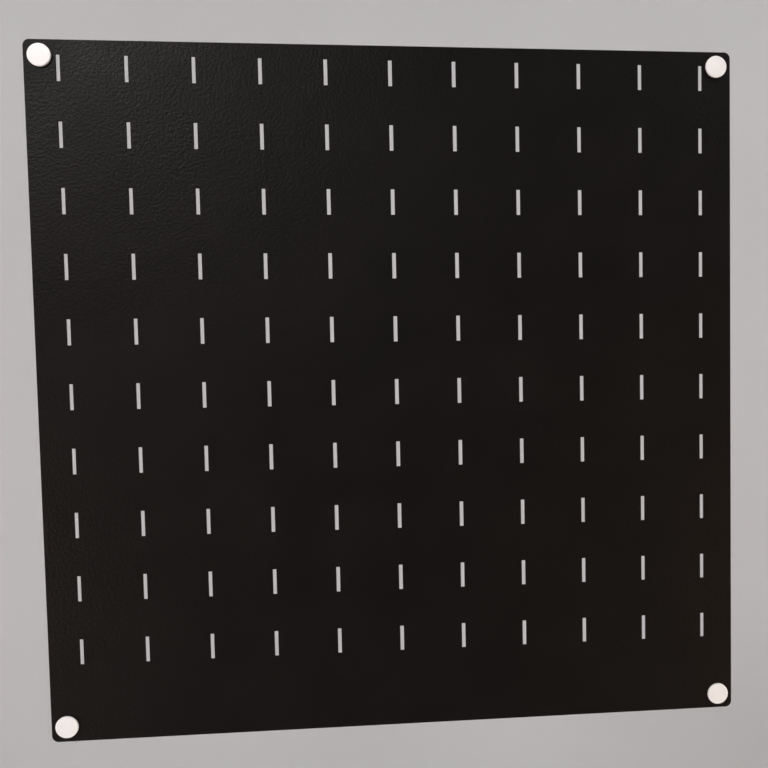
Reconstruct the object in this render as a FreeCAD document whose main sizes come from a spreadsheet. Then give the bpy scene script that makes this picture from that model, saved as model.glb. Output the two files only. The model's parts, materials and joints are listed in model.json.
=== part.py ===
import FreeCAD, Part
import math
import os
import Sketcher

# A slotted steel display panel held off a wall by four capped standoffs.
# Frame: +Z is up, +X is to the right for someone facing the panel, and the panel faces -Y.
# The origin is on the wall plane, at the centre of the four wall screws.
# A depth is a distance from the wall plane towards the viewer. Every body is drawn lying down,
# with its own Z along the depth, and its placement stands it up.

Vector = FreeCAD.Vector

doc = FreeCAD.newDocument("slotted_display_panel")

driving_dimensions = [
    # steel sheet
    ("panel_width", 609.6),
    ("panel_height", 600.8),
    ("sheet_thickness", 1.5),
    ("corner_radius", 5.5),
    ("fixing_inset", 13.5),
    ("fixing_hole_diameter", 8.6),
    # slots: the columns share out the width, and the rows keep the same pitch
    ("column_count", 11),
    ("row_count", 10),
    ("slot_width", 3.2),
    ("slot_length", 22.2),
    # standoff barrel
    ("barrel_diameter", 12.0),
    ("barrel_length", 15.0),
    ("barrel_chamfer", 0.5),
    ("thread_bore_diameter", 8.0),
    ("thread_bore_depth", 11.5),
    ("screw_hole_diameter", 4.5),
    # nylon washers
    ("washer_hole_diameter", 8.6),
    ("rear_washer_diameter", 12.0),
    ("rear_washer_thickness", 0.8),
    ("front_washer_diameter", 18.0),
    ("front_washer_thickness", 0.5),
    # white cap
    ("cap_diameter", 19.05),
    ("cap_thickness", 2.2),
    ("cap_crown", 0.1),
    ("cap_rim_radius", 0.5),
    ("cap_back_chamfer", 0.2),
    # flat-headed stud, its thread drawn as the cylinder over its crests
    ("stud_head_diameter", 14.0),
    ("stud_head_thickness", 1.2),
    ("stud_diameter", 7.9),
    ("stud_engagement", 7.5),
    ("stud_chamfer", 0.9),
    # wall screw, drawn as the cylinder over its crests
    ("head_diameter", 7.6),
    ("head_height", 3.0),
    ("head_rounding", 1.6),
    ("neck_diameter", 3.6),
    ("thread_diameter", 4.2),
    ("shank_length", 16.0),
    ("thread_start_behind_wall", 0.5),
    ("point_length", 4.0),
    ("recess_span", 4.4),
    ("recess_width", 1.0),
    ("recess_depth", 1.6),
]

worked_out_dimensions = [
    # panel outline and slot grid, measured from the panel's lower left corner
    ("width_less_corner", "=panel_width - corner_radius"),
    ("height_less_corner", "=panel_height - corner_radius"),
    ("slot_pitch", "=panel_width / column_count"),
    ("slot_left", "=(slot_pitch - slot_width) / 2"),
    ("slot_right", "=slot_left + slot_width"),
    ("lowest_slot_centre", "=panel_height / 2 - slot_pitch * (row_count / 2 - 1)"),
    ("slot_bottom", "=lowest_slot_centre - slot_length / 2"),
    ("slot_top", "=slot_bottom + slot_length"),
    ("slot_span_across", "=slot_pitch * (column_count - 1)"),
    ("slot_span_up", "=slot_pitch * (row_count - 1)"),
    ("fixing_span_across", "=panel_width - 2 * fixing_inset"),
    ("fixing_span_up", "=panel_height - 2 * fixing_inset"),
    # the layers, from the wall outwards
    ("barrel_base", "=barrel_length - thread_bore_depth"),
    ("sheet_back_depth", "=barrel_length + rear_washer_thickness"),
    ("sheet_front_depth", "=sheet_back_depth + sheet_thickness"),
    ("cap_back_depth", "=sheet_front_depth + front_washer_thickness"),
    ("stud_tip_depth", "=barrel_length - stud_engagement"),
    ("screw_tip_depth", "=barrel_base - shank_length"),
    # turned outlines
    ("barrel_radius", "=barrel_diameter / 2"),
    ("barrel_end_radius", "=barrel_radius - barrel_chamfer"),
    ("barrel_shoulder", "=barrel_length - barrel_chamfer"),
    ("thread_bore_radius", "=thread_bore_diameter / 2"),
    ("screw_hole_radius", "=screw_hole_diameter / 2"),
    ("cap_radius", "=cap_diameter / 2"),
    ("cap_back_radius", "=cap_radius - cap_back_chamfer"),
    ("cap_face_radius", "=cap_radius - cap_rim_radius"),
    ("cap_face_height", "=cap_thickness - cap_crown"),
    ("cap_side_height", "=cap_face_height - cap_rim_radius"),
    ("cap_crown_radius", "=(cap_face_radius ^ 2 + cap_crown ^ 2) / (2 * cap_crown)"),
    ("stud_radius", "=stud_diameter / 2"),
    ("stud_end_radius", "=stud_radius - stud_chamfer"),
    ("stud_head_radius", "=stud_head_diameter / 2"),
    ("stud_shank_length", "=cap_back_depth - stud_tip_depth"),
    ("stud_length", "=stud_shank_length + stud_head_thickness"),
    ("neck_radius", "=neck_diameter / 2"),
    ("thread_radius", "=thread_diameter / 2"),
    ("thread_end", "=shank_length - barrel_base - thread_start_behind_wall"),
    ("head_radius", "=head_diameter / 2"),
    ("head_face_radius", "=head_radius - head_rounding"),
    ("head_side_top", "=shank_length + head_height - head_rounding"),
    ("screw_length", "=shank_length + head_height"),
    ("recess_half_span", "=recess_span / 2"),
    ("recess_half_width", "=recess_width / 2"),
]

sizes = doc.addObject("Spreadsheet::Sheet", "sizes")
for row, (alias, content) in enumerate(driving_dimensions + worked_out_dimensions, start=1):
    sizes.set(f"A{row}", alias)
    sizes.set(f"B{row}", str(content))
    sizes.setAlias(f"B{row}", alias)
doc.recompute()

# name, side (-1 left, +1 right), level (-1 bottom, +1 top)
corners = [
    ("top_left", -1, 1),
    ("top_right", 1, 1),
    ("bottom_left", -1, -1),
    ("bottom_right", 1, -1),
]

# the viewer's direction becomes each body's own Z, and up becomes its own Y
stand_up = FreeCAD.Rotation(Vector(1, 0, 0), 90)


def new_body(name, across, depth, up):
    """An empty body, stood up at a place given by three expressions in the sheet's aliases."""
    body = doc.addObject("PartDesign::Body", name)
    body.Label = name
    body.Placement = FreeCAD.Placement(Vector(0, 0, 0), stand_up)
    body.setExpression("Placement.Base.x", across)
    body.setExpression("Placement.Base.y", f"-1 * ({depth})")
    body.setExpression("Placement.Base.z", up)
    return body


def corner_body(piece, corner, side, level, depth):
    """An empty body on one standoff's axis."""
    across = f"{side} * sizes.fixing_span_across / 2"
    up = f"{level} * sizes.fixing_span_up / 2"
    return new_body(f"{piece}_{corner}", across, depth, up)


def new_sketch(body, name, role, height=None):
    """A sketch on one of the body's own origin planes, lifted to a bound height if one is given."""
    sketch = body.newObject("Sketcher::SketchObject", f"{body.Name}_{name}")
    plane = next(item for item in body.Origin.OriginFeatures if item.Role == role)
    sketch.AttachmentSupport = [(plane, "")]
    sketch.MapMode = "FlatFace"
    if height:
        sketch.setExpression("AttachmentOffset.Base.z", f"sizes.{height}")
    return sketch


def present(alias):
    """The present value of a dimension; a leading minus sign turns it over."""
    if alias is None:
        return 0.0
    if alias.startswith("-"):
        return -float(sizes.get(alias[1:]))
    return float(sizes.get(alias))


def bind(sketch, constraint, alias):
    """Add a dimension to the sketch and bind it to the sheet."""
    index = sketch.addConstraint(constraint)
    sign = "-1 * " if alias.startswith("-") else ""
    sketch.setExpression(f"Constraints[{index}]", f"{sign}sizes.{alias.lstrip('-')}")


def pin(sketch, edge, point, across, up):
    """Hold one point of an edge at two dimensions, or on an axis where the dimension is None."""
    for kind, alias, axis in (("DistanceX", across, -2), ("DistanceY", up, -1)):
        if alias is None:
            sketch.addConstraint(Sketcher.Constraint("PointOnObject", edge, point, axis))
        else:
            bind(sketch, Sketcher.Constraint(kind, -1, 1, edge, point, present(alias)), alias)


def add_circle(sketch, diameter, across=None, up=None):
    centre = Vector(present(across), present(up), 0)
    circle = sketch.addGeometry(Part.Circle(centre, Vector(0, 0, 1), present(diameter) / 2))
    pin(sketch, circle, 3, across, up)
    bind(sketch, Sketcher.Constraint("Diameter", circle, present(diameter)), diameter)


def left_arc(start, end, radius):
    """The arc of less than half a turn that bulges to the right of the way from start to end."""
    chord = end - start
    rise = math.sqrt(radius ** 2 - (chord.Length / 2) ** 2)
    to_centre = Vector(-chord.y, chord.x, 0).normalize()
    centre = (start + end) / 2 + to_centre * rise
    return Part.Arc(start, centre - to_centre * radius, end)


def add_outline(sketch, points, rounds=None):
    """A closed outline, counterclockwise. rounds names the radius of the edge after a point."""
    rounds = rounds or {}
    places = [Vector(present(across), present(up), 0) for across, up in points]
    edges = []
    for i, start in enumerate(places):
        end = places[(i + 1) % len(places)]
        if i in rounds:
            curve = left_arc(start, end, present(rounds[i]))
        else:
            curve = Part.LineSegment(start, end)
        edges.append(sketch.addGeometry(curve))
    for i, edge in enumerate(edges):
        sketch.addConstraint(Sketcher.Constraint("Coincident", edges[i - 1], 2, edge, 1))
        pin(sketch, edge, 1, *points[i])
    for i, radius in rounds.items():
        bind(sketch, Sketcher.Constraint("Radius", edges[i], present(radius)), radius)


def pad(body, sketch, length):
    feature = body.newObject("PartDesign::Pad", f"{sketch.Name}_pad")
    feature.Profile = sketch
    feature.setExpression("Length", f"sizes.{length}")
    sketch.Visibility = False
    return feature


def pocket(body, sketch, depth, reverse):
    """Cut to a bound depth, and make sure that something was cut."""
    doc.recompute()
    volume_before = body.Shape.Volume
    feature = body.newObject("PartDesign::Pocket", f"{sketch.Name}_pocket")
    feature.Profile = sketch
    feature.Reversed = reverse
    feature.setExpression("Length", f"sizes.{depth}")
    doc.recompute()
    if body.Shape.Volume >= volume_before:
        raise RuntimeError(f"{feature.Name} cut nothing")
    return feature


def turn(body, points, rounds=None):
    """A turned piece: an outline of (radius, height) pairs spun about the body's own Z."""
    sketch = new_sketch(body, "profile", "XZ_Plane")
    add_outline(sketch, points, rounds)
    feature = body.newObject("PartDesign::Revolution", f"{body.Name}_turned")
    feature.Profile = sketch
    feature.ReferenceAxis = (sketch, ["V_Axis"])
    feature.Angle = 360
    return feature


def grid_pattern(body, original, span_across, count_across, span_up, count_up):
    """Repeat one cut across and up the sheet, spaced evenly over bound spans."""
    axes = {item.Role: item for item in body.Origin.OriginFeatures}
    feature = body.newObject("PartDesign::LinearPattern", f"{original.Name}_grid")
    feature.Originals = [original]
    feature.Direction = (axes["X_Axis"], [""])
    feature.Direction2 = (axes["Y_Axis"], [""])
    feature.Mode = "Extent"
    feature.Mode2 = "Extent"
    feature.setExpression("Length", span_across)
    feature.setExpression("Occurrences", count_across)
    feature.setExpression("Length2", span_up)
    feature.setExpression("Occurrences2", count_up)
    body.Tip = feature


def make_slotted_panel():
    """The sheet, drawn from its lower left corner, with its slots and four fixing holes."""
    body = new_body(
        "slotted_panel",
        "-1 * sizes.panel_width / 2",
        "sizes.sheet_back_depth",
        "-1 * sizes.panel_height / 2",
    )
    outline = new_sketch(body, "outline", "XY_Plane")
    corner_arcs = {1: "corner_radius", 3: "corner_radius", 5: "corner_radius", 7: "corner_radius"}
    add_outline(
        outline,
        [
            ("corner_radius", None),
            ("width_less_corner", None),
            ("panel_width", "corner_radius"),
            ("panel_width", "height_less_corner"),
            ("width_less_corner", "panel_height"),
            ("corner_radius", "panel_height"),
            (None, "height_less_corner"),
            (None, "corner_radius"),
        ],
        corner_arcs,
    )
    pad(body, outline, "sheet_thickness")

    hole = new_sketch(body, "fixing_hole", "XY_Plane")
    add_circle(hole, "fixing_hole_diameter", "fixing_inset", "fixing_inset")
    hole_cut = pocket(body, hole, "sheet_thickness", reverse=True)
    grid_pattern(body, hole_cut, "sizes.fixing_span_across", "2", "sizes.fixing_span_up", "2")

    slot = new_sketch(body, "slot", "XY_Plane")
    add_outline(
        slot,
        [
            ("slot_left", "slot_bottom"),
            ("slot_right", "slot_bottom"),
            ("slot_right", "slot_top"),
            ("slot_left", "slot_top"),
        ],
    )
    slot_cut = pocket(body, slot, "sheet_thickness", reverse=True)
    grid_pattern(
        body,
        slot_cut,
        "sizes.slot_span_across",
        "sizes.column_count",
        "sizes.slot_span_up",
        "sizes.row_count",
    )
    check_panel_volume(body)
    return body


def check_panel_volume(body):
    """Compare the sheet with its outline less every slot and hole, so that none is missing."""
    doc.recompute()
    outline = present("panel_width") * present("panel_height")
    lost_at_corners = (4 - math.pi) * present("corner_radius") ** 2
    slots = present("column_count") * present("row_count") * present("slot_width") * present("slot_length")
    holes = len(corners) * math.pi * (present("fixing_hole_diameter") / 2) ** 2
    expected = (outline - lost_at_corners - slots - holes) * present("sheet_thickness")
    if abs(body.Shape.Volume - expected) > 0.5:
        raise RuntimeError(f"the panel holds {body.Shape.Volume:.1f} mm3, not {expected:.1f} mm3")


def make_barrel(corner, side, level):
    """The spacer: a thread bore from the front, and a screw hole through its base."""
    body = corner_body("barrel", corner, side, level, "0")
    turn(
        body,
        [
            ("screw_hole_radius", None),
            ("barrel_end_radius", None),
            ("barrel_radius", "barrel_chamfer"),
            ("barrel_radius", "barrel_shoulder"),
            ("barrel_end_radius", "barrel_length"),
            ("thread_bore_radius", "barrel_length"),
            ("thread_bore_radius", "barrel_base"),
            ("screw_hole_radius", "barrel_base"),
        ],
    )
    return body


def make_washer(piece, corner, side, level, depth):
    """A flat nylon ring that keeps the coating from being scratched."""
    body = corner_body(piece, corner, side, level, depth)
    ring = new_sketch(body, "ring", "XY_Plane")
    add_circle(ring, f"{piece}_diameter")
    add_circle(ring, "washer_hole_diameter")
    pad(body, ring, f"{piece}_thickness")
    return body


def make_cap(corner, side, level):
    """The white cap: a thin disc, slightly crowned, with a recess in its back for the stud's head."""
    body = corner_body("cap", corner, side, level, "sizes.cap_back_depth")
    turn(
        body,
        [
            ("stud_head_radius", None),
            ("cap_back_radius", None),
            ("cap_radius", "cap_back_chamfer"),
            ("cap_radius", "cap_side_height"),
            ("cap_face_radius", "cap_face_height"),
            (None, "cap_thickness"),
            (None, "stud_head_thickness"),
            ("stud_head_radius", "stud_head_thickness"),
        ],
        {3: "cap_rim_radius", 4: "cap_crown_radius"},
    )
    return body


def make_cap_stud(corner, side, level):
    """The stud, its flat head fast in the cap's recess and its shank screwed into the barrel."""
    body = corner_body("cap_stud", corner, side, level, "sizes.stud_tip_depth")
    turn(
        body,
        [
            (None, None),
            ("stud_end_radius", None),
            ("stud_radius", "stud_chamfer"),
            ("stud_radius", "stud_shank_length"),
            ("stud_head_radius", "stud_shank_length"),
            ("stud_head_radius", "stud_length"),
            (None, "stud_length"),
        ],
    )
    return body


def make_wall_screw(corner, side, level):
    """A pan-head screw, drawn from its tip: thread, thinner neck, and a cross recess in the head."""
    body = corner_body("wall_screw", corner, side, level, "sizes.screw_tip_depth")
    turn(
        body,
        [
            (None, None),
            ("thread_radius", "point_length"),
            ("thread_radius", "thread_end"),
            ("neck_radius", "thread_end"),
            ("neck_radius", "shank_length"),
            ("head_radius", "shank_length"),
            ("head_radius", "head_side_top"),
            ("head_face_radius", "screw_length"),
            (None, "screw_length"),
        ],
        {6: "head_rounding"},
    )
    for name, half_across, half_up in (
        ("recess_across", "recess_half_span", "recess_half_width"),
        ("recess_up", "recess_half_width", "recess_half_span"),
    ):
        recess = new_sketch(body, name, "XY_Plane", height="screw_length")
        add_outline(
            recess,
            [
                (f"-{half_across}", f"-{half_up}"),
                (half_across, f"-{half_up}"),
                (half_across, half_up),
                (f"-{half_across}", half_up),
            ],
        )
        pocket(body, recess, "recess_depth", reverse=False)
    return body


bodies = [make_slotted_panel()]
for corner in corners:
    bodies.append(make_barrel(*corner))
    bodies.append(make_washer("rear_washer", *corner, "sizes.barrel_length"))
    bodies.append(make_washer("front_washer", *corner, "sizes.sheet_front_depth"))
    bodies.append(make_cap(*corner))
    bodies.append(make_cap_stud(*corner))
    bodies.append(make_wall_screw(*corner))
doc.recompute()

for item in doc.Objects:
    if {"Invalid", "Error"} & set(item.State):
        raise RuntimeError(f"{item.Label} failed: {item.State}")
for body in bodies:
    if body.Shape.isNull() or not body.Shape.isValid() or len(body.Shape.Solids) != 1:
        raise RuntimeError(f"{body.Label} is not one valid solid")

os.makedirs("parts", exist_ok=True)
for body in bodies:
    body.Shape.exportStep(f"parts/{body.Label}.step")
    box = body.Shape.optimalBoundingBox(False)
    print(
        f"{body.Label}: {body.Shape.Volume:.1f} mm3,"
        f" x {box.XMin:.2f} to {box.XMax:.2f},"
        f" y {box.YMin:.2f} to {box.YMax:.2f},"
        f" z {box.ZMin:.2f} to {box.ZMax:.2f}"
    )
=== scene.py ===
import json

import bmesh
import bpy
import numpy as np
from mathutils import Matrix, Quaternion, Vector
from mathutils.geometry import delaunay_2d_cdt


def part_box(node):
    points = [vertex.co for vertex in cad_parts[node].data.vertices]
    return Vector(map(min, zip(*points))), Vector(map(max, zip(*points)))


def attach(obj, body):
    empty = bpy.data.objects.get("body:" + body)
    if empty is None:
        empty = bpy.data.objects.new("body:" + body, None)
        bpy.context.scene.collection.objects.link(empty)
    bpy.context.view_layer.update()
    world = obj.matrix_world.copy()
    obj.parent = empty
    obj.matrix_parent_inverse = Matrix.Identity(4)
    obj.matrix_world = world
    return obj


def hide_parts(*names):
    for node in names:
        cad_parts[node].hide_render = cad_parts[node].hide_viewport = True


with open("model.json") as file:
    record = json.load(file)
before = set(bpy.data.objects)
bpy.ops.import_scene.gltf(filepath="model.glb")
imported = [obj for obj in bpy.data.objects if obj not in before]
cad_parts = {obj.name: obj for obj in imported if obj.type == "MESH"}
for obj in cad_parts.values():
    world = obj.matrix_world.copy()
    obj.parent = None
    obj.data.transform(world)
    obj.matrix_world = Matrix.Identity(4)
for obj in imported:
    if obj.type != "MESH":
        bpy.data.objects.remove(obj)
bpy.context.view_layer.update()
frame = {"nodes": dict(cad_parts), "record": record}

# A slotted steel display panel on four capped standoffs, rebuilt in finer detail over its frame.
# Metres throughout. +X is right, +Z is up, and the panel faces -Y. Depth is the distance towards
# the viewer from the wall plane at y = 0.

cornerNames = ["top_left", "top_right", "bottom_left", "bottom_right"]
bodies = frame["record"]["behaviour"]["bodies"]
bodyOfNode = {node: body for body, nodes in bodies.items() for node in nodes}
print("frame loaded:", len(frame["nodes"]), "nodes")


def gridQuads(rows, columns, closeRows=False):
    # corner numbers of the quads on a grid of points whose columns always wrap round
    row = np.arange(rows if closeRows else rows - 1)[:, None]
    column = np.arange(columns)[None, :]
    nextRow = (row + 1) % rows
    nextColumn = (column + 1) % columns
    corners = [row * columns + column, row * columns + nextColumn,
               nextRow * columns + nextColumn, nextRow * columns + column]
    return np.stack(corners, axis=-1).reshape(-1, 4)


def roundedProfile(points, radii, steps=5):
    # each corner of the outline becomes an arc that touches both of its sides: the arc starts
    # radius / tan(half the corner) before it and swings evenly about a centre on the bisector
    points = np.asarray(points, float)
    rounded = []
    for before, corner, after, radius in zip(np.roll(points, 1, 0), points, np.roll(points, -1, 0), radii):
        if radius == 0:
            rounded.append(corner[None])
            continue
        towards = (before - corner) / np.linalg.norm(before - corner)
        onwards = (after - corner) / np.linalg.norm(after - corner)
        halfCorner = np.arccos(np.clip(towards @ onwards, -1, 1)) / 2
        bisector = (towards + onwards) / np.linalg.norm(towards + onwards)
        centre = corner + bisector * radius / np.sin(halfCorner)
        start = corner + towards * radius / np.tan(halfCorner) - centre
        end = corner + onwards * radius / np.tan(halfCorner) - centre
        swing = np.linspace(0, 1, steps + 1)[:, None]
        whole = np.pi - 2 * halfCorner
        arc = (np.sin((1 - swing) * whole) * start + np.sin(swing * whole) * end) / np.sin(whole)
        rounded.append(centre + arc)
    return np.concatenate(rounded)


def turned(radius, depth, axis, segments):
    # radius and depth, one value for each row or for each row and angle, carried round an axis along Y
    angle = np.linspace(0, 2 * np.pi, segments, endpoint=False)[None, :]
    radius = radius[:, None] if radius.ndim == 1 else radius
    depth = depth[:, None] if depth.ndim == 1 else depth
    x = axis[0] + radius * np.cos(angle)
    z = axis[1] + radius * np.sin(angle)
    y = np.broadcast_to(-depth, x.shape)
    return np.stack([x, y, z], axis=-1).reshape(-1, 3)


def makePiece(name, node, points, faces, material, sharpDegrees=35, extra=None):
    # one closed mesh from points and faces: doubles merged, normals turned outwards, smooth shaded
    weldDistance = 1e-7
    mesh = bpy.data.meshes.new(name)
    mesh.from_pydata(points.tolist(), [], faces.tolist() if isinstance(faces, np.ndarray) else faces)
    for attributeName, values in (extra or {}).items():
        attribute = mesh.attributes.new(attributeName, "FLOAT", "POINT")
        attribute.data.foreach_set("value", np.asarray(values, np.float32))
    work = bmesh.new()
    work.from_mesh(mesh)
    bmesh.ops.remove_doubles(work, verts=work.verts, dist=weldDistance)
    bmesh.ops.recalc_face_normals(work, faces=work.faces)
    work.to_mesh(mesh)
    work.free()
    mesh.polygons.foreach_set("use_smooth", np.ones(len(mesh.polygons), bool))
    mesh.set_sharp_from_angle(angle=np.radians(sharpDegrees))
    mesh.materials.append(material)
    piece = bpy.data.objects.new(name, mesh)
    bpy.context.scene.collection.objects.link(piece)
    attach(piece, bodyOfNode[node])
    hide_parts(node)
    return piece


def nodeAxis(node):
    # the centre of a node's box across and up, with its radius and its depths from back to front
    low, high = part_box(node)
    centre = ((low[0] + high[0]) / 2, (low[2] + high[2]) / 2)
    return centre, (high[0] - low[0]) / 2, -high[1], -low[1]


def newMaterial(name):
    material = bpy.data.materials.new(name)
    material.use_nodes = True
    nodes, links = material.node_tree.nodes, material.node_tree.links
    return material, nodes, links, nodes["Principled BSDF"]


def noiseOf(nodes, links, scale, detail, roughness=0.5, stretch=(1, 1, 1), turn=(0, 0, 0)):
    # noise in the object's own coordinates, in features per metre, drawn out along an axis if asked
    place = nodes.new("ShaderNodeTexCoord")
    mapping = nodes.new("ShaderNodeMapping")
    mapping.inputs["Scale"].default_value = stretch
    mapping.inputs["Rotation"].default_value = turn
    noise = nodes.new("ShaderNodeTexNoise")
    noise.inputs["Scale"].default_value = scale
    noise.inputs["Detail"].default_value = detail
    noise.inputs["Roughness"].default_value = roughness
    links.new(place.outputs["Object"], mapping.inputs["Vector"])
    links.new(mapping.outputs["Vector"], noise.inputs["Vector"])
    return noise.outputs["Fac"]


def rangeOf(nodes, links, source, low, high, fromLow=0.3, fromHigh=0.7):
    # the part of the source between fromLow and fromHigh, spread from low to high
    spread = nodes.new("ShaderNodeMapRange")
    spread.inputs["From Min"].default_value = fromLow
    spread.inputs["From Max"].default_value = fromHigh
    spread.inputs["To Min"].default_value = low
    spread.inputs["To Max"].default_value = high
    links.new(source, spread.inputs["Value"])
    return spread.outputs["Result"]


def blendOf(nodes, links, factor, first, second):
    # one colour where the factor is 0 and the other where it is 1
    mix = nodes.new("ShaderNodeMix")
    mix.data_type = "RGBA"
    for socket, colour in (("A", first), ("B", second)):
        target = next(s for s in mix.inputs if s.name == socket and s.type == "RGBA")
        if isinstance(colour, bpy.types.NodeSocket):
            links.new(colour, target)
        else:
            target.default_value = (*colour, 1)
    links.new(factor, mix.inputs["Factor"])
    return next(s for s in mix.outputs if s.type == "RGBA")


def bumpOf(nodes, links, height, distance, strength=1.0, under=None):
    # a bump laid over the one under it, if there is one
    bump = nodes.new("ShaderNodeBump")
    bump.inputs["Distance"].default_value = distance
    bump.inputs["Strength"].default_value = strength
    links.new(height, bump.inputs["Height"])
    if under is not None:
        links.new(under, bump.inputs["Normal"])
    return bump.outputs["Normal"]


# In every finish below, a noise is given by its features per metre and its detail, a range by the values
# it runs between and, where it isn't the middle of the noise, the part that it covers.

def powderCoat():
    # black powder coat: a semi-gloss film with orange peel, slow changes of gloss, a little dust, and
    # lighter patches on the rounded rims that are partly a painted edge highlight and partly rubbed wear
    coat = {"thin": (0.0010, 0.0008, 0.0007), "thick": (0.0021, 0.0017, 0.0015), "toneNoise": (26, 4),
            "dust": (0.035, 0.033, 0.031), "dustNoise": (900, 1), "dustRange": (0, 0.8, 0.74, 0.80),
            "wornAndHighlit": (0.022, 0.021, 0.020), "wornAndHighlitNoise": (160, 5), "wornAndHighlitRange": (0, 0.6, 0.48, 0.70),
            "roughness": (0.37, 0.46), "glossNoise": (14, 5),
            "specular": 0.145, "specularTint": (1.0, 0.92, 0.87, 1),
            "swellNoise": (9, 1), "swellBump": (0.0006, 0.5),  # each bump is its height and its strength
            "peelNoise": (400, 2), "peelBump": (0.00036, 1.0),
            "pitNoise": (2400, 2), "pitBump": (0.000015, 1.0)}
    material, nodes, links, shader = newMaterial("blackPowderCoat")
    tone = rangeOf(nodes, links, noiseOf(nodes, links, *coat["toneNoise"]), 0, 1)
    colour = blendOf(nodes, links, tone, coat["thin"], coat["thick"])
    speck = rangeOf(nodes, links, noiseOf(nodes, links, *coat["dustNoise"]), *coat["dustRange"])
    colour = blendOf(nodes, links, speck, colour, coat["dust"])
    # the rims are lightened in patches: a painted highlight where the rounded edges catch the light, broken
    # up like rubbed wear
    edge = nodes.new("ShaderNodeAttribute")
    edge.attribute_name = "edgeHighlightAndWear"
    patches = rangeOf(nodes, links, noiseOf(nodes, links, *coat["wornAndHighlitNoise"]), *coat["wornAndHighlitRange"])
    highlightAndWearHere = nodes.new("ShaderNodeMath")
    highlightAndWearHere.operation = "MULTIPLY"
    links.new(edge.outputs["Fac"], highlightAndWearHere.inputs[0])
    links.new(patches, highlightAndWearHere.inputs[1])
    colour = blendOf(nodes, links, highlightAndWearHere.outputs["Value"], colour, coat["wornAndHighlit"])
    links.new(colour, shader.inputs["Base Color"])
    gloss = rangeOf(nodes, links, noiseOf(nodes, links, *coat["glossNoise"]), *coat["roughness"])
    links.new(gloss, shader.inputs["Roughness"])
    shader.inputs["Specular IOR Level"].default_value = coat["specular"]
    shader.inputs["Specular Tint"].default_value = coat["specularTint"]
    swell = bumpOf(nodes, links, noiseOf(nodes, links, *coat["swellNoise"]), *coat["swellBump"])
    peel = bumpOf(nodes, links, noiseOf(nodes, links, *coat["peelNoise"]), *coat["peelBump"], swell)
    pits = bumpOf(nodes, links, noiseOf(nodes, links, *coat["pitNoise"]), *coat["pitBump"], peel)
    links.new(pits, shader.inputs["Normal"])
    return material


def whitePlastic():
    # white moulded plastic: satin skin, faint yellowing and hairline scuffs in the gloss
    plastic = {"clean": (0.87, 0.87, 0.862), "aged": (0.83, 0.82, 0.80), "toneNoise": (60, 4),
               "roughness": (0.26, 0.40), "scuffNoise": (900, 5, 0.6),  # the third value is its roughness
               "scuffStretch": (1, 1, 0.12), "scuffTurn": (0, 0.6, 0),
               "subsurface": 0.08, "subsurfaceRadius": (0.0012, 0.001, 0.0008), "subsurfaceScale": 0.5,
               "grainNoise": (1500, 2), "grainHeight": 0.00001}
    material, nodes, links, shader = newMaterial("whiteCapPlastic")
    tone = rangeOf(nodes, links, noiseOf(nodes, links, *plastic["toneNoise"]), 0, 1)
    links.new(blendOf(nodes, links, tone, plastic["clean"], plastic["aged"]), shader.inputs["Base Color"])
    scuffs = noiseOf(nodes, links, *plastic["scuffNoise"], plastic["scuffStretch"], plastic["scuffTurn"])
    links.new(rangeOf(nodes, links, scuffs, *plastic["roughness"]), shader.inputs["Roughness"])
    shader.inputs["Subsurface Weight"].default_value = plastic["subsurface"]
    shader.inputs["Subsurface Radius"].default_value = plastic["subsurfaceRadius"]
    shader.inputs["Subsurface Scale"].default_value = plastic["subsurfaceScale"]
    grain = bumpOf(nodes, links, noiseOf(nodes, links, *plastic["grainNoise"]), plastic["grainHeight"])
    links.new(grain, shader.inputs["Normal"])
    return material


def nylon():
    # natural nylon: milky, softly translucent and matt
    milk = {"pale": (0.78, 0.77, 0.73), "warm": (0.70, 0.68, 0.61), "toneNoise": (220, 3),
            "roughness": (0.45, 0.60), "glossNoise": (400, 3),
            "subsurface": 0.3, "subsurfaceRadius": (0.002, 0.0017, 0.0012), "subsurfaceScale": 0.5,
            "grainNoise": (1800, 2), "grainHeight": 0.00002}
    material, nodes, links, shader = newMaterial("naturalNylon")
    tone = rangeOf(nodes, links, noiseOf(nodes, links, *milk["toneNoise"]), 0, 1)
    links.new(blendOf(nodes, links, tone, milk["pale"], milk["warm"]), shader.inputs["Base Color"])
    gloss = rangeOf(nodes, links, noiseOf(nodes, links, *milk["glossNoise"]), *milk["roughness"])
    links.new(gloss, shader.inputs["Roughness"])
    shader.inputs["Subsurface Weight"].default_value = milk["subsurface"]
    shader.inputs["Subsurface Radius"].default_value = milk["subsurfaceRadius"]
    shader.inputs["Subsurface Scale"].default_value = milk["subsurfaceScale"]
    grain = bumpOf(nodes, links, noiseOf(nodes, links, *milk["grainNoise"]), milk["grainHeight"])
    links.new(grain, shader.inputs["Normal"])
    return material


metals = {
    "satinAluminium": {"bright": (0.80, 0.80, 0.81), "dull": (0.70, 0.70, 0.72), "roughness": (0.26, 0.42),
                       "turningScale": 5200, "blotchScale": 180},
    "brightZincSteel": {"bright": (0.66, 0.67, 0.70), "dull": (0.52, 0.52, 0.53), "roughness": (0.22, 0.38),
                        "turningScale": 3800, "blotchScale": 420},
    "yellowZincSteel": {"bright": (0.66, 0.62, 0.52), "dull": (0.50, 0.45, 0.36), "roughness": (0.25, 0.42),
                        "turningScale": 3800, "blotchScale": 420}}


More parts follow.
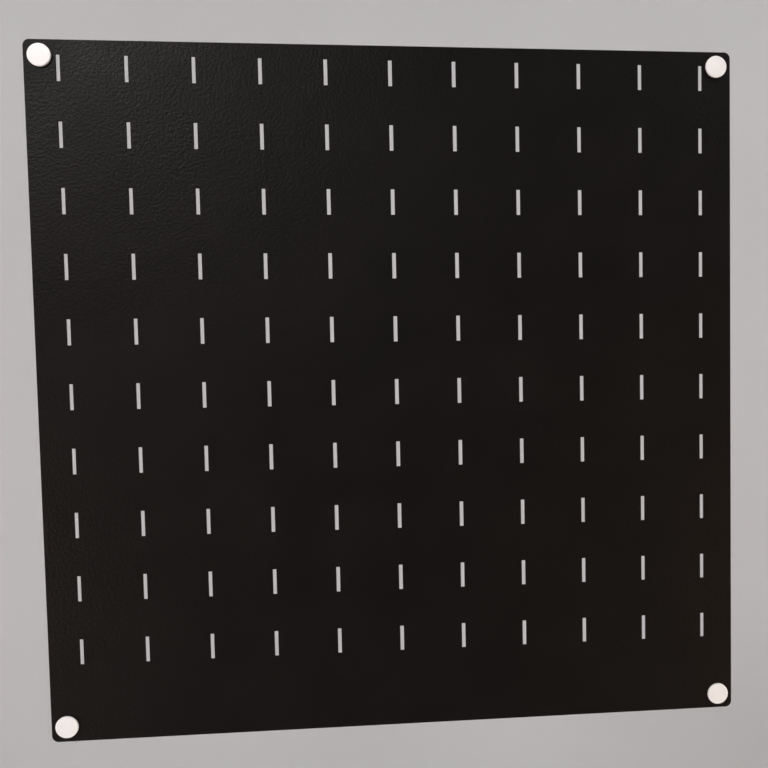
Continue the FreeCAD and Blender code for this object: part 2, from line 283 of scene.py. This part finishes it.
def metal(name):
    # turned or plated metal: fine rings round the Y axis from noise drawn out across it, and soft blotches
    turning = {"detail": 3, "stretch": (0.02, 1, 0.02), "height": 0.00001, "blotchDetail": 4}
    finish = metals[name]
    material, nodes, links, shader = newMaterial(name)
    shader.inputs["Metallic"].default_value = 1.0
    blotches = noiseOf(nodes, links, finish["blotchScale"], turning["blotchDetail"])
    tone = rangeOf(nodes, links, blotches, 0, 1)
    links.new(blendOf(nodes, links, tone, finish["bright"], finish["dull"]), shader.inputs["Base Color"])
    rings = noiseOf(nodes, links, finish["turningScale"], turning["detail"], stretch=turning["stretch"])
    links.new(rangeOf(nodes, links, rings, *finish["roughness"]), shader.inputs["Roughness"])
    links.new(bumpOf(nodes, links, rings, turning["height"]), shader.inputs["Normal"])
    return material


blackCoat = powderCoat()
capPlastic = whitePlastic()
washerNylon = nylon()
barrelMetal = metal("satinAluminium")
studMetal = metal("brightZincSteel")
screwMetal = metal("yellowZincSteel")
print("materials made")


def roundedLoop(centre, halfAcross, halfUp, cornerRadius, offset, steps):
    # a rectangle with round corners, grown by each offset: every corner is a quarter turn whose
    # radius is the corner's radius plus the offset; with no straight sides it is a circle
    quarter = np.linspace(0, np.pi / 2, steps, endpoint=halfAcross > 0)
    turn = (np.arange(4)[:, None] * np.pi / 2 + quarter[None, :]).ravel()
    across = np.repeat([1, -1, -1, 1], len(quarter)) * halfAcross
    up = np.repeat([1, 1, -1, -1], len(quarter)) * halfUp
    radius = cornerRadius + np.asarray(offset)[:, None]
    x = centre[0] + across + radius * np.cos(turn)
    z = centre[1] + up + radius * np.sin(turn)
    return np.stack([x, z], axis=-1)


def makeSlottedPanel():
    panel = {"columns": 11, "rows": 10, "slotWidth": 0.0032, "slotLength": 0.0222, "slotCorner": 0.00025,
             "sheetCorner": 0.0055, "holeRadius": 0.0043, "frontEdge": 0.00025, "backEdge": 0.00015,
             "rim": 0.0005, "backHighlightAndWear": 0.5, "edgeSteps": 4, "cornerSteps": 10, "slotSteps": 4,
             "holeSteps": 12, "nearness": 1e-9, "sharpDegrees": 50}
    low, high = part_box("slotted_panel")
    width, height = high[0] - low[0], high[2] - low[2]
    front, back = low[1], high[1]

    # the profile across an edge, carried round every slot, hole and the outline: in from the rim, a
    # quarter circle for the front edge, straight through the sheet, and another for the back edge
    swing = np.linspace(0, np.pi / 2, panel["edgeSteps"] + 1)
    frontEdge, backEdge, rim = panel["frontEdge"], panel["backEdge"], panel["rim"]
    inset = np.concatenate([[frontEdge + rim], frontEdge * (1 - np.sin(swing)),
                            backEdge * (1 - np.cos(swing)), [backEdge + rim]])
    place = np.concatenate([[front], front + frontEdge * (1 - np.cos(swing)),
                            back - backEdge * (1 - np.sin(swing)), [back]])
    # how much each ring is lightened, most halfway round each rounded edge and half as much at the back: a
    # painted edge highlight, partly wear
    rimHighlightAndWear = np.concatenate([[0], np.sin(2 * swing), panel["backHighlightAndWear"] * np.sin(2 * swing), [0]])

    # the rows run from five pitches above the middle to four below it, so the foot of the sheet is plain
    pitch = width / panel["columns"]
    columnX = (np.arange(panel["columns"]) - (panel["columns"] - 1) / 2) * pitch
    rowZ = (panel["rows"] / 2 - np.arange(panel["rows"])) * pitch
    corner = panel["slotCorner"]
    slotShape = (panel["slotWidth"] / 2 - corner, panel["slotLength"] / 2 - corner, corner)
    loops = [((x, z), *slotShape, inset, panel["slotSteps"]) for z in rowZ for x in columnX]
    for name in cornerNames:
        centre = nodeAxis(f"barrel_{name}")[0]
        loops.append((centre, 0, 0, panel["holeRadius"], inset, panel["holeSteps"]))
    corner = panel["sheetCorner"]
    loops.append(((0, 0), width / 2 - corner, height / 2 - corner, corner, -inset, panel["cornerSteps"]))

    points, faces, rimHighlightAndWearOfPoint, frontRims, backRims, rimSizes, count = [], [], [], [], [], [], 0
    for loop in loops:
        rings = roundedLoop(*loop)
        rows, columns = rings.shape[:2]
        ringPlace = np.broadcast_to(place[:, None], (rows, columns))
        points.append(np.stack([rings[..., 0], ringPlace, rings[..., 1]], -1).reshape(-1, 3))
        rimHighlightAndWearOfPoint.append(np.repeat(rimHighlightAndWear, columns))
        faces.append(gridQuads(rows, columns) + count)
        frontRims.append((rings[0], np.arange(columns) + count))
        backRims.append((rings[-1], np.arange(columns) + count + (rows - 1) * columns))
        rimSizes.append(columns)
        count += rows * columns
    points = np.concatenate(points)
    faceList = np.concatenate(faces).tolist()

    # the flat faces: Delaunay triangles between the rims. Every rim is convex, so a triangle with all
    # three corners on the rim of one slot or hole fills that opening and is dropped
    rimOfCorner = np.repeat(np.arange(len(loops)), rimSizes)
    sizeHere = np.repeat(rimSizes, rimSizes)
    startHere = np.repeat(np.cumsum(rimSizes) - rimSizes, rimSizes)
    corner = np.arange(len(rimOfCorner))
    following = startHere + (corner - startHere + 1) % sizeHere
    edges = np.stack([corner, following], -1).tolist()
    for rims in (frontRims, backRims):
        flat = np.concatenate([rim2d for rim2d, _ in rims]).tolist()
        number = np.concatenate([numbers for _, numbers in rims])
        _, _, triangles, origin, _, _ = delaunay_2d_cdt(flat, edges, [], 0, panel["nearness"])
        corners = np.array([came[0] for came in origin])[np.array(triangles)]
        rimOf = rimOfCorner[corners]
        fillsOpening = (rimOf == rimOf[:, :1]).all(axis=1) & (rimOf[:, 0] < len(loops) - 1)
        faceList += number[corners[~fillsOpening]].tolist()
    makePiece("slottedPanel", "slotted_panel", points, faceList, blackCoat, panel["sharpDegrees"],
              {"edgeHighlightAndWear": np.concatenate(rimHighlightAndWearOfPoint)})


makeSlottedPanel()
print("slotted panel made")


def makeCap(name):
    cap = {"crown": 0.0001, "rim": 0.0005, "backEdge": 0.0002, "recessRadius": 0.007, "recessDepth": 0.0012,
           "segments": 96, "crownSteps": 10, "rimSteps": 9}
    axis, radius, back, front = nodeAxis(f"cap_{name}")
    faceRadius = radius - cap["rim"]
    # the crown falls from the middle with the square of the radius, then the rim turns a quarter circle
    reach = np.linspace(0, faceRadius, cap["crownSteps"])
    crown = np.stack([reach, front - cap["crown"] * (reach / faceRadius) ** 2], -1)
    rimTurn = np.linspace(0, np.pi / 2, cap["rimSteps"])[1:, None]
    rimCentre = np.array([faceRadius, front - cap["crown"] - cap["rim"]])
    rim = rimCentre + cap["rim"] * np.concatenate([np.sin(rimTurn), np.cos(rimTurn)], -1)
    foot = [(radius, back + cap["backEdge"]), (radius - cap["backEdge"], back), (cap["recessRadius"], back),
            (cap["recessRadius"], back + cap["recessDepth"]), (0, back + cap["recessDepth"])]
    profile = np.concatenate([crown, rim, foot])
    points = turned(profile[:, 0], profile[:, 1], axis, cap["segments"])
    makePiece(f"cap.{name}", f"cap_{name}", points, gridQuads(len(profile), cap["segments"]), capPlastic)


def makeBarrel(name):
    # a stepped tube: its outline, with a small arc at each corner, turned round the axis
    barrel = {"boreRadius": 0.004, "boreDepth": 0.0115, "holeRadius": 0.00225, "segments": 96,
              "corners": (0.000125, 0.0005, 0.0005, 0.00025, 0, 0.000125)}  # radii in the outline's order
    axis, radius, back, front = nodeAxis(f"barrel_{name}")
    base = front - barrel["boreDepth"]
    outline = [(barrel["holeRadius"], back), (radius, back), (radius, front), (barrel["boreRadius"], front),
               (barrel["boreRadius"], base), (barrel["holeRadius"], base)]
    profile = roundedProfile(outline, barrel["corners"])
    points = turned(profile[:, 0], profile[:, 1], axis, barrel["segments"])
    faces = gridQuads(len(profile), barrel["segments"], True)
    makePiece(f"barrel.{name}", f"barrel_{name}", points, faces, barrelMetal)


def makeWasher(kind, name):
    # a flat ring: a rectangle with round corners, turned round the axis
    washer = {"holeRadius": 0.0043, "edge": 0.00022, "edgeSteps": 4, "segments": 72}
    axis, radius, back, front = nodeAxis(f"{kind}_washer_{name}")
    outline = [(washer["holeRadius"], back), (radius, back), (radius, front), (washer["holeRadius"], front)]
    profile = roundedProfile(outline, [washer["edge"]] * len(outline), washer["edgeSteps"])
    points = turned(profile[:, 0], profile[:, 1], axis, washer["segments"])
    faces = gridQuads(len(profile), washer["segments"], True)
    makePiece(f"{kind}Washer.{name}", f"{kind}_washer_{name}", points, faces, washerNylon)


def threadWave(depth, segments, pitch, rootFlat, crestFlat):
    # 0 at the root and 1 at the crest of a right-hand thread: a triangle wave along the axis that
    # moves on by one pitch a turn, cut flat at both ends and eased between
    angle = np.linspace(0, 2 * np.pi, segments, endpoint=False)[None, :]
    along = (depth[:, None] / pitch - angle / (2 * np.pi)) % 1
    rise = np.clip((1 - np.abs(2 * along - 1) - rootFlat) / (1 - rootFlat - crestFlat), 0, 1)
    return rise * rise * (3 - 2 * rise)


def makeCapStud(name):
    stud = {"pitch": 0.00125, "rootDepth": 0.00072, "rootFlat": 0.12, "crestFlat": 0.14, "chamfer": 0.0009,
            "threadRadius": 0.00395, "headHeight": 0.0012, "headEdge": 0.0002, "rowsPerTurn": 14,
            "segments": 64, "sharpDegrees": 60}
    axis, radius, back, front = nodeAxis(f"cap_stud_{name}")
    segments, threadRadius, underHead = stud["segments"], stud["threadRadius"], front - stud["headHeight"]
    # the thread's radius falls by the root depth where the wave is 0, and a 45 degree cone cuts its tip
    rows = int((underHead - back) / stud["pitch"] * stud["rowsPerTurn"])
    depth = np.linspace(back, underHead, rows)
    wave = threadWave(depth, segments, stud["pitch"], stud["rootFlat"], stud["crestFlat"])
    thread = threadRadius - stud["rootDepth"] * (1 - wave)
    taper = threadRadius - stud["chamfer"] + depth - back
    thread = np.minimum(thread, taper[:, None])
    # a pole closes the tip, and the flat head ends in another
    edge = stud["headEdge"]
    head = np.array([(radius - edge, underHead), (radius, underHead + edge), (radius, front - edge),
                     (radius - edge, front), (0, front)])
    radii = np.concatenate([np.zeros((1, segments)), thread, head[:, :1] + np.zeros((1, segments))])
    depths = np.concatenate([[back], depth, head[:, 1]])[:, None] + np.zeros((1, segments))
    points = turned(radii, depths, axis, segments)
    faces = gridQuads(len(radii), segments)
    makePiece(f"capStud.{name}", f"cap_stud_{name}", points, faces, studMetal, stud["sharpDegrees"])


def makeWallScrew(name):
    screw = {"headHeight": 0.003, "rounding": 0.0016, "headEdge": 0.0002, "neckRadius": 0.0018,
             "threadRadius": 0.0021, "rootRadius": 0.00135, "pitch": 0.0026, "rootFlat": 0.45,
             "crestFlat": 0.08, "threadStart": -0.0005, "threadLap": 0.0001, "pointLength": 0.005,
             "neckFade": 3,  # the neck is gone after one pitch divided by this
             "recessSpan": 0.0044, "recessWidth": 0.001, "recessDepth": 0.0016, "recessSoftness": 0.00012,
             "recessTaper": 0.35, "faceSteps": 22, "shoulderSteps": 8, "rowsPerTurn": 18, "segments": 64,
             "sharpDegrees": 50}
    axis, radius, back, front = nodeAxis(f"wall_screw_{name}")
    segments = screw["segments"]
    angle = np.linspace(0, 2 * np.pi, segments, endpoint=False)[None, :]

    # top of the head: a polar grid whose height drops into the cross recess
    faceRadius = radius - screw["rounding"]
    reach = np.linspace(0, faceRadius, screw["faceSteps"])[:, None]
    across, up = np.abs(reach * np.cos(angle)), np.abs(reach * np.sin(angle))
    arm, arms = screw["recessWidth"] / 2, screw["recessSpan"] / 2
    inLevel = np.minimum(arm - up, arms - across) / screw["recessSoftness"]
    inUpright = np.minimum(arm - across, arms - up) / screw["recessSoftness"]
    dip = np.clip(np.maximum(inLevel, inUpright) + 0.5, 0, 1)
    top = front - screw["recessDepth"] * dip * (1 - screw["recessTaper"] * reach / faceRadius)
    rows = [(reach + 0 * angle, top)]

    # rounded shoulder of the head, its underside, and the plain neck
    shoulder = np.linspace(0, np.pi / 2, screw["shoulderSteps"])[1:, None]
    rows.append((faceRadius + screw["rounding"] * np.sin(shoulder) + 0 * angle,
                 front - screw["rounding"] * (1 - np.cos(shoulder)) + 0 * angle))
    underHead = front - screw["headHeight"]
    plain = np.array([(radius, underHead + screw["headEdge"]), (radius - screw["headEdge"], underHead),
                      (screw["neckRadius"], underHead), (screw["neckRadius"], screw["threadStart"])])
    rows.append((plain[:, :1] + 0 * angle, plain[:, 1:] + 0 * angle))

    # thread, whose crest and root both shrink to the point
    count = int((screw["threadStart"] - back) / screw["pitch"] * screw["rowsPerTurn"])
    depth = np.linspace(screw["threadStart"] - screw["threadLap"], back, count)
    wave = threadWave(depth, segments, screw["pitch"], screw["rootFlat"], screw["crestFlat"])
    startEase = np.clip((screw["threadStart"] - depth) / screw["pitch"], 0, 1)[:, None]
    body = screw["rootRadius"] + (screw["threadRadius"] - screw["rootRadius"]) * wave * startEase
    body = np.maximum(body, screw["neckRadius"] * (1 - startEase * screw["neckFade"]))
    point = np.clip((depth - back) / screw["pointLength"], 0, 1)[:, None]
    rows.append((body * point, depth[:, None] + 0 * angle))

    radii = np.concatenate([r for r, _ in rows])
    depths = np.concatenate([d for _, d in rows])
    points = turned(radii, depths, axis, segments)
    faces = gridQuads(len(radii), segments)
    makePiece(f"wallScrew.{name}", f"wall_screw_{name}", points, faces, screwMetal, screw["sharpDegrees"])


for cornerName in cornerNames:
    makeBarrel(cornerName)
    makeWasher("rear", cornerName)
    makeWasher("front", cornerName)
    makeCap(cornerName)
    makeCapStud(cornerName)
    makeWallScrew(cornerName)
print("standoffs made")


def makeStudio():
    studio = {"floor": -1.7, "innerRadii": (0.05, 1.2), "flatRadius": 2.4, "bend": 1.0, "wallTop": 4.7,
              "bendSteps": 25, "segments": 96, "paint": (0.78, 0.775, 0.785), "shade": (0.74, 0.735, 0.745),
              "toneNoise": (0.8, 2), "roughness": 0.9, "specular": 0.1}
    # a round cove: flat floor, a quarter-circle bend and an upright wall, turned about the upright axis
    bendTurn = np.linspace(0, np.pi / 2, studio["bendSteps"])
    bend = studio["bend"]
    radius = np.concatenate([studio["innerRadii"], studio["flatRadius"] + bend * np.sin(bendTurn),
                             [studio["flatRadius"] + bend]])
    height = np.concatenate([[0, 0], bend * (1 - np.cos(bendTurn)), [studio["wallTop"]]]) + studio["floor"]
    angle = np.linspace(0, 2 * np.pi, studio["segments"], endpoint=False)
    points = np.stack([radius[:, None] * np.cos(angle), radius[:, None] * np.sin(angle),
                       height[:, None] + 0 * angle], -1).reshape(-1, 3)
    faces = gridQuads(len(radius), studio["segments"]).tolist() + [list(range(studio["segments"]))[::-1]]
    mesh = bpy.data.meshes.new("studioCove")
    mesh.from_pydata(points.tolist(), [], faces)
    mesh.polygons.foreach_set("use_smooth", np.ones(len(mesh.polygons), bool))
    material, nodes, links, shader = newMaterial("studioPaint")
    tone = rangeOf(nodes, links, noiseOf(nodes, links, *studio["toneNoise"]), 0, 1)
    links.new(blendOf(nodes, links, tone, studio["paint"], studio["shade"]), shader.inputs["Base Color"])
    shader.inputs["Roughness"].default_value = studio["roughness"]
    shader.inputs["Specular IOR Level"].default_value = studio["specular"]
    mesh.materials.append(material)
    cove = bpy.data.objects.new("studioCove", mesh)
    bpy.context.scene.collection.objects.link(cove)


def makeLights():
    # place, the point each light faces, its size across and up, and its power in watts
    lights = {
        "key": {"place": (-1.68, -2.95, 1.5), "aim": (0, 0, 0.05), "size": (1.2, 1.2), "power": 103,
                "colour": (0.95, 0.94, 1.0)},
        "rightSoftbox": {"place": (2.6, -1.5, 2.7), "aim": (0.2, 0, 0), "size": (1.8, 1.8), "power": 82,
                         "colour": (0.95, 1.0, 0.98)},
        "lowLeftFill": {"place": (-2.2, -1.9, -0.8), "aim": (-0.2, 0, -0.2), "size": (0.9, 0.9), "power": 21,
                        "colour": (1.0, 0.80, 0.72)},
        "lowRightFill": {"place": (1.8, -1.9, -0.8), "aim": (0.2, 0, -0.25), "size": (0.9, 0.9), "power": 9,
                         "colour": (1.0, 0.60, 0.22)},
        "backdropWash": {"place": (-0.6, 1.0, 2.6), "aim": (-0.5, 3.2, 0.5), "size": (2.6, 0.8), "power": 4,
                         "colour": (1.0, 0.97, 1.0)}}
    for name, lamp in lights.items():
        data = bpy.data.lights.new(name, "AREA")
        data.shape = "RECTANGLE"
        data.size, data.size_y = lamp["size"]
        data.energy = lamp["power"]
        data.color = lamp["colour"]
        light = bpy.data.objects.new(name, data)
        light.location = lamp["place"]
        light.rotation_mode = "QUATERNION"
        light.rotation_quaternion = (Vector(lamp["aim"]) - Vector(lamp["place"])).to_track_quat("-Z", "Y")
        bpy.context.scene.collection.objects.link(light)
    room = {"colour": (0.93, 0.93, 0.95, 1), "strength": 0.03}
    world = bpy.data.worlds.new("paleRoom")
    world.use_nodes = True
    world.node_tree.nodes["Background"].inputs["Color"].default_value = room["colour"]
    world.node_tree.nodes["Background"].inputs["Strength"].default_value = room["strength"]
    bpy.context.scene.world = world


def makeCamera():
    # aim is the point of the sheet's front face that the lens points at; the shift only reframes
    view = {"place": (0.0166, -0.8210, 0.0171), "aim": (0.0955, -0.0173, -0.0259), "rollDegrees": -0.886,
            "lens": 42.19, "sensorWidth": 36, "shift": (-0.1569, 0.0449)}
    data = bpy.data.cameras.new("camera")
    data.lens = view["lens"]
    data.sensor_width = view["sensorWidth"]
    data.shift_x, data.shift_y = view["shift"]
    camera = bpy.data.objects.new("camera", data)
    camera.location = view["place"]
    camera.rotation_mode = "QUATERNION"
    aim = (Vector(view["aim"]) - Vector(view["place"])).to_track_quat("-Z", "Y")
    camera.rotation_quaternion = aim @ Quaternion((0, 0, 1), np.radians(view["rollDegrees"]))
    bpy.context.scene.collection.objects.link(camera)
    bpy.context.scene.camera = camera


makeStudio()
makeLights()
makeCamera()
bpy.context.scene.view_settings.view_transform = "Standard"
print("studio made")
